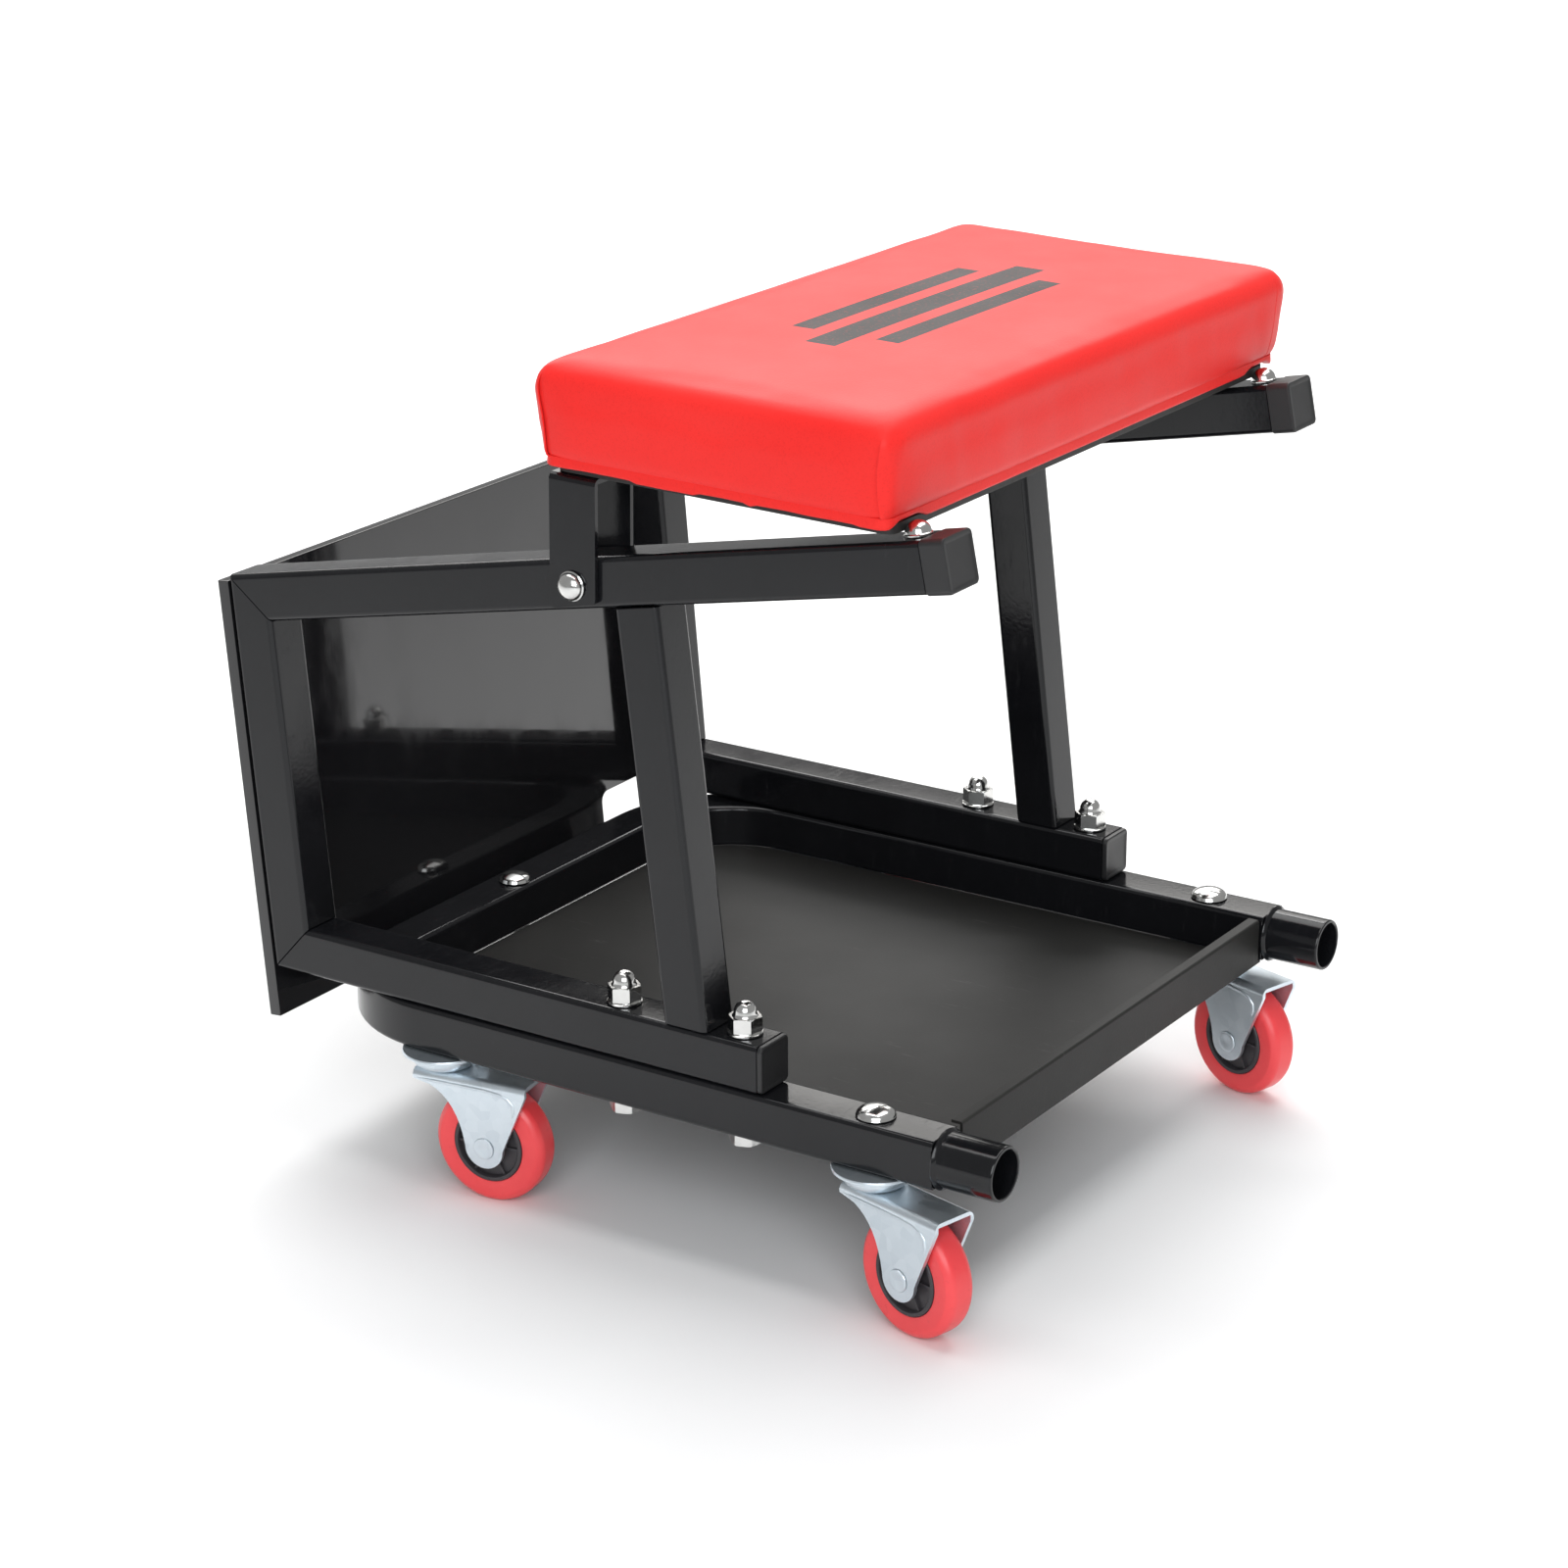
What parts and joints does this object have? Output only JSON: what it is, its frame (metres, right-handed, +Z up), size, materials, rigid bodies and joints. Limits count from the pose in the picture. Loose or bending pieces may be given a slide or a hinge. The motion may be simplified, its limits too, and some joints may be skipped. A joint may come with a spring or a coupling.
{
  "type": "rolling mechanic seat",
  "caption": "Low rolling work seat with a padded tipping top on a leaning tube frame, a tool tray between the base tubes and swivel casters.",
  "frame": {"origin": "on the floor under the middle of the whole length and width", "axes": "+Z up, +Y towards the back panel, +X towards the right-hand side frame when seen from the front stubs"},
  "size_m": [0.392, 0.4636, 0.455],
  "materials": {
    "frame": "gloss black powder coat",
    "tray": "satin dark grey coat",
    "panel": "high-gloss black coat",
    "end_plastic": "moulded satin black",
    "bright_zinc": "bright zinc plate",
    "fork_zinc": "clear blue zinc plate",
    "wheel_red": "smooth red moulding",
    "wheel_hub": "moulded dark grey",
    "seat_vinyl": "soft red vinyl, satin sheen",
    "seat_board": "black backing board"
  },
  "bodies": {
    "base": {"back_panel": "panel", "base_frame_tube": "frame", "cross_tube_bolt": "bright_zinc", "frame_bolt_front_left": "bright_zinc", "frame_bolt_front_right": "bright_zinc", "frame_bolt_rear_left": "bright_zinc", "frame_bolt_rear_right": "bright_zinc", "front_left_caster_race": "fork_zinc", "front_left_caster_stem": "bright_zinc", "front_right_caster_race": "fork_zinc", "front_right_caster_stem": "bright_zinc", "front_stub_left": "frame", "front_stub_right": "frame", "lower_rail_left": "frame", "lower_rail_plug_left": "end_plastic", "lower_rail_plug_right": "end_plastic", "lower_rail_right": "frame", "rear_left_caster_race": "fork_zinc", "rear_left_caster_stem": "bright_zinc", "rear_post_left": "frame", "rear_post_right": "frame", "rear_right_caster_race": "fork_zinc", "rear_right_caster_stem": "bright_zinc", "rest_bolt_left": "bright_zinc", "rest_bolt_right": "bright_zinc", "seat_pivot_bolt_left": "bright_zinc", "seat_pivot_bolt_right": "bright_zinc", "strut_left": "frame", "strut_right": "frame", "tool_tray": "tray", "top_rail_cap_left": "end_plastic", "top_rail_cap_right": "end_plastic", "top_rail_left": "frame", "top_rail_right": "frame"},
    "seat": {"seat_cushion": "seat_vinyl", "seat_board": "seat_board", "seat_bracket_left": "frame", "seat_bracket_right": "frame"},
    "front_left_fork": {"front_left_caster_fork": "fork_zinc", "front_left_caster_axle": "fork_zinc"},
    "front_left_wheel": {"front_left_caster_tyre": "wheel_red", "front_left_caster_hub": "wheel_hub"},
    "front_right_fork": {"front_right_caster_fork": "fork_zinc", "front_right_caster_axle": "fork_zinc"},
    "front_right_wheel": {"front_right_caster_tyre": "wheel_red", "front_right_caster_hub": "wheel_hub"},
    "rear_left_fork": {"rear_left_caster_fork": "fork_zinc", "rear_left_caster_axle": "fork_zinc"},
    "rear_left_wheel": {"rear_left_caster_tyre": "wheel_red", "rear_left_caster_hub": "wheel_hub"},
    "rear_right_fork": {"rear_right_caster_fork": "fork_zinc", "rear_right_caster_axle": "fork_zinc"},
    "rear_right_wheel": {"rear_right_caster_tyre": "wheel_red", "rear_right_caster_hub": "wheel_hub"}
  },
  "joints": [
    {"name": "seat_tip", "type": "hinge", "parent": "base", "child": "seat", "pos_m": [0, 0.00305, 0.34824], "axis": [-1, 0, 0], "range_deg": [0, 70]},
    {"name": "front_left_swivel", "type": "hinge", "parent": "base", "child": "front_left_fork", "pos_m": [-0.1718, -0.15945, 0.0697], "axis": [0, 0, 1], "continuous": true},
    {"name": "front_left_roll", "type": "hinge", "parent": "front_left_fork", "child": "front_left_wheel", "pos_m": [-0.17882, -0.18759, 0.03175], "axis": [0.9703, -0.2419, 0], "continuous": true},
    {"name": "front_right_swivel", "type": "hinge", "parent": "base", "child": "front_right_fork", "pos_m": [0.1718, -0.15945, 0.0697], "axis": [0, 0, 1], "continuous": true},
    {"name": "front_right_roll", "type": "hinge", "parent": "front_right_fork", "child": "front_right_wheel", "pos_m": [0.16381, -0.18733, 0.03175], "axis": [0.9613, -0.2756, 0], "continuous": true},
    {"name": "rear_left_swivel", "type": "hinge", "parent": "base", "child": "rear_left_fork", "pos_m": [-0.1718, 0.10455, 0.0697], "axis": [0, 0, 1], "continuous": true},
    {"name": "rear_left_roll", "type": "hinge", "parent": "rear_left_fork", "child": "rear_left_wheel", "pos_m": [-0.16776, 0.07583, 0.03175], "axis": [0.9903, 0.1392, 0], "continuous": true},
    {"name": "rear_right_swivel", "type": "hinge", "parent": "base", "child": "rear_right_fork", "pos_m": [0.1718, 0.10455, 0.0697], "axis": [0, 0, 1], "continuous": true},
    {"name": "rear_right_roll", "type": "hinge", "parent": "rear_right_fork", "child": "rear_right_wheel", "pos_m": [0.16776, 0.07583, 0.03175], "axis": [0.9903, -0.1392, 0], "continuous": true}
  ]
}
